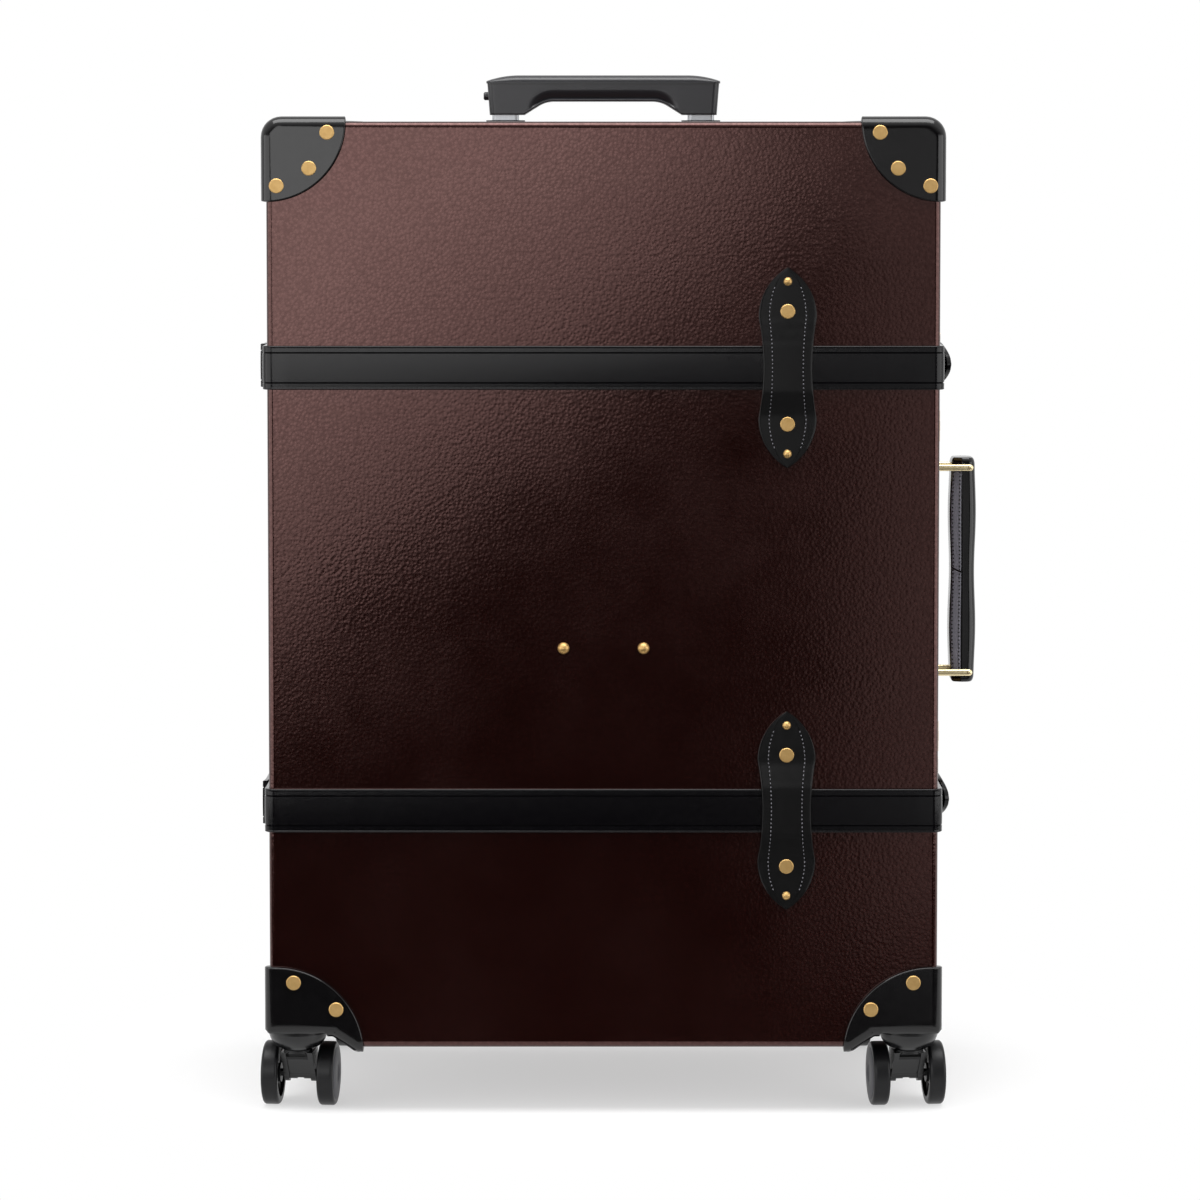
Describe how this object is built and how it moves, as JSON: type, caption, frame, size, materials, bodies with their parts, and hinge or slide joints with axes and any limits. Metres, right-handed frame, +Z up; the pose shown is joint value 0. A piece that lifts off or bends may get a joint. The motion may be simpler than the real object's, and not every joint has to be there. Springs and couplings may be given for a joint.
{
  "type": "trolley suitcase",
  "caption": "Upright fibreboard trolley suitcase with leather corners and belts, hinged lid, telescopic pull handle, side carry handle and twin-wheel casters.",
  "frame": {"origin": "on the floor under the middle of the case body", "axes": "+X to the right seen from the lid's face, +Y from the lid's face to the back, +Z up"},
  "size_m": [0.5682, 0.3021, 0.8135],
  "materials": {
    "fibre": "oxblood vulcanised fibre, waxed, fine pebbled sheen",
    "leather": "black bridle leather, creased edges",
    "brass": "polished brass",
    "rim_wood": "varnished ash",
    "lining_cloth": "woven lining on board",
    "tube_aluminium": "satin anodised",
    "grip_plastic": "dark grey moulded, fine matt",
    "caster_plastic": "black moulded",
    "wheel_rubber": "dark grey tread on a moulded wheel"
  },
  "bodies": {
    "base": {"base_shell": "fibre", "base_rim": "rim_wood", "base_lining": "lining_cloth", "base_corners": "leather", "base_corner_rivets": "brass", "base_straps": "leather", "base_strap_loops": "leather", "base_loop_rivets": "brass", "upper_strap_tongue": "leather", "lower_strap_tongue": "leather", "buckle_frames": "brass", "base_hinge_leaves": "brass", "hinge_pins": "brass", "lock_bodies": "brass", "handle_lugs": "brass", "outer_tubes": "tube_aluminium", "tube_bracket": "tube_aluminium", "tube_bezels": "caster_plastic", "base_caster_cups": "caster_plastic"},
    "lid": {"lid_shell": "fibre", "lid_rim": "rim_wood", "lid_lining": "lining_cloth", "lid_corners": "leather", "lid_corner_rivets": "brass", "lid_studs": "brass", "lid_straps": "leather", "strap_plies": "leather", "lid_strap_loops": "leather", "lid_loop_rivets": "brass", "lid_hinge_leaves": "brass", "hasp_plates": "brass", "lid_caster_cups": "caster_plastic"},
    "trolley_stage": {"middle_tubes": "tube_aluminium"},
    "trolley_handle": {"inner_tubes": "tube_aluminium", "trolley_grip": "grip_plastic", "grip_cap": "grip_plastic"},
    "release_button": {"release_button": "grip_plastic"},
    "upper_handle_loop": {"upper_handle_loop": "brass"},
    "side_handle": {"side_handle": "leather"},
    "lower_handle_loop": {"lower_handle_loop": "brass"},
    "upper_buckle_prong": {"upper_buckle_prong": "brass"},
    "upper_lock_hasp": {"upper_lock_hasp": "brass"},
    "upper_lock_button": {"upper_lock_button": "brass"},
    "lower_buckle_prong": {"lower_buckle_prong": "brass"},
    "lower_lock_hasp": {"lower_lock_hasp": "brass"},
    "lower_lock_button": {"lower_lock_button": "brass"},
    "front_left_caster": {"front_left_caster_fork": "caster_plastic"},
    "front_left_wheel_a": {"front_left_wheel_a": "wheel_rubber"},
    "front_left_wheel_b": {"front_left_wheel_b": "wheel_rubber"},
    "front_right_caster": {"front_right_caster_fork": "caster_plastic"},
    "front_right_wheel_a": {"front_right_wheel_a": "wheel_rubber"},
    "front_right_wheel_b": {"front_right_wheel_b": "wheel_rubber"},
    "rear_left_caster": {"rear_left_caster_fork": "caster_plastic"},
    "rear_left_wheel_a": {"rear_left_wheel_a": "wheel_rubber"},
    "rear_left_wheel_b": {"rear_left_wheel_b": "wheel_rubber"},
    "rear_right_caster": {"rear_right_caster_fork": "caster_plastic"},
    "rear_right_wheel_a": {"rear_right_wheel_a": "wheel_rubber"},
    "rear_right_wheel_b": {"rear_right_wheel_b": "wheel_rubber"}
  },
  "joints": [
    {"name": "lid_hinge", "type": "hinge", "parent": "base", "child": "lid", "pos_m": [-0.264, -0.04, 0.4105], "axis": [0, 0, -1], "range_deg": [0, 110]},
    {"name": "trolley_lower_slide", "type": "slide", "parent": "base", "child": "trolley_stage", "axis": [0, 0, 1], "range_m": [0, 0.16]},
    {"name": "trolley_upper_slide", "type": "slide", "parent": "trolley_stage", "child": "trolley_handle", "axis": [0, 0, 1], "range_m": [0, 0.16]},
    {"name": "release_button_press", "type": "slide", "parent": "trolley_handle", "child": "release_button", "axis": [1, 0, 0], "range_m": [0, 0.003], "stiffness_N_per_m": 400},
    {"name": "upper_loop_swing", "type": "hinge", "parent": "base", "child": "upper_handle_loop", "pos_m": [0.264, 0, 0.497], "axis": [0, -1, 0], "range_deg": [-45, 45]},
    {"name": "handle_swing", "type": "hinge", "parent": "upper_handle_loop", "child": "side_handle", "pos_m": [0.294, 0, 0.497], "axis": [0, -1, 0], "range_deg": [-45, 45]},
    {"name": "lower_loop_swing", "type": "hinge", "parent": "base", "child": "lower_handle_loop", "pos_m": [0.264, 0, 0.332], "axis": [0, -1, 0], "range_deg": [-45, 45]},
    {"name": "upper_prong_turn", "type": "hinge", "parent": "base", "child": "upper_buckle_prong", "pos_m": [0.2693, 0.0286, 0.5825], "axis": [0, 0, 1], "range_deg": [0, 80]},
    {"name": "upper_hasp_turn", "type": "hinge", "parent": "lid", "child": "upper_lock_hasp", "pos_m": [0.263, -0.07, 0.5335], "axis": [0, 0, -1], "range_deg": [0, 100]},
    {"name": "upper_lock_press", "type": "slide", "parent": "base", "child": "upper_lock_button", "axis": [-1, 0, 0], "range_m": [0, 0.0016], "stiffness_N_per_m": 400},
    {"name": "lower_prong_turn", "type": "hinge", "parent": "base", "child": "lower_buckle_prong", "pos_m": [0.2693, 0.0286, 0.2385], "axis": [0, 0, 1], "range_deg": [0, 80]},
    {"name": "lower_hasp_turn", "type": "hinge", "parent": "lid", "child": "lower_lock_hasp", "pos_m": [0.263, -0.07, 0.2875], "axis": [0, 0, -1], "range_deg": [0, 100]},
    {"name": "lower_lock_press", "type": "slide", "parent": "base", "child": "lower_lock_button", "axis": [-1, 0, 0], "range_m": [0, 0.0016], "stiffness_N_per_m": 400},
    {"name": "front_left_swivel", "type": "hinge", "parent": "lid", "child": "front_left_caster", "pos_m": [-0.2395, -0.116, 0.046], "axis": [0, 0, 1], "continuous": true},
    {"name": "front_left_wheel_a_spin", "type": "hinge", "parent": "front_left_caster", "child": "front_left_wheel_a", "pos_m": [-0.23837, -0.10305, 0.025], "axis": [0.9962, -0.0872, 0], "continuous": true},
    {"name": "front_left_wheel_b_spin", "type": "hinge", "parent": "front_left_caster", "child": "front_left_wheel_b", "pos_m": [-0.23837, -0.10305, 0.025], "axis": [0.9962, -0.0872, 0], "continuous": true},
    {"name": "front_right_swivel", "type": "hinge", "parent": "lid", "child": "front_right_caster", "pos_m": [0.2395, -0.116, 0.046], "axis": [0, 0, 1], "continuous": true},
    {"name": "front_right_wheel_a_spin", "type": "hinge", "parent": "front_right_caster", "child": "front_right_wheel_a", "pos_m": [0.23837, -0.10305, 0.025], "axis": [0.9962, 0.0872, 0], "continuous": true},
    {"name": "front_right_wheel_b_spin", "type": "hinge", "parent": "front_right_caster", "child": "front_right_wheel_b", "pos_m": [0.23837, -0.10305, 0.025], "axis": [0.9962, 0.0872, 0], "continuous": true},
    {"name": "rear_left_swivel", "type": "hinge", "parent": "base", "child": "rear_left_caster", "pos_m": [-0.2395, 0.116, 0.046], "axis": [0, 0, 1], "continuous": true},
    {"name": "rear_left_wheel_a_spin", "type": "hinge", "parent": "rear_left_caster", "child": "rear_left_wheel_a", "pos_m": [-0.23837, 0.12895, 0.025], "axis": [0.9962, -0.0872, 0], "continuous": true},
    {"name": "rear_left_wheel_b_spin", "type": "hinge", "parent": "rear_left_caster", "child": "rear_left_wheel_b", "pos_m": [-0.23837, 0.12895, 0.025], "axis": [0.9962, -0.0872, 0], "continuous": true},
    {"name": "rear_right_swivel", "type": "hinge", "parent": "base", "child": "rear_right_caster", "pos_m": [0.2395, 0.116, 0.046], "axis": [0, 0, 1], "continuous": true},
    {"name": "rear_right_wheel_a_spin", "type": "hinge", "parent": "rear_right_caster", "child": "rear_right_wheel_a", "pos_m": [0.23837, 0.12895, 0.025], "axis": [0.9962, 0.0872, 0], "continuous": true},
    {"name": "rear_right_wheel_b_spin", "type": "hinge", "parent": "rear_right_caster", "child": "rear_right_wheel_b", "pos_m": [0.23837, 0.12895, 0.025], "axis": [0.9962, 0.0872, 0], "continuous": true}
  ],
  "couplings": [
    {"joint": "handle_swing", "follows": "upper_loop_swing", "ratio": -1},
    {"joint": "lower_loop_swing", "follows": "upper_loop_swing", "ratio": 1}
  ]
}
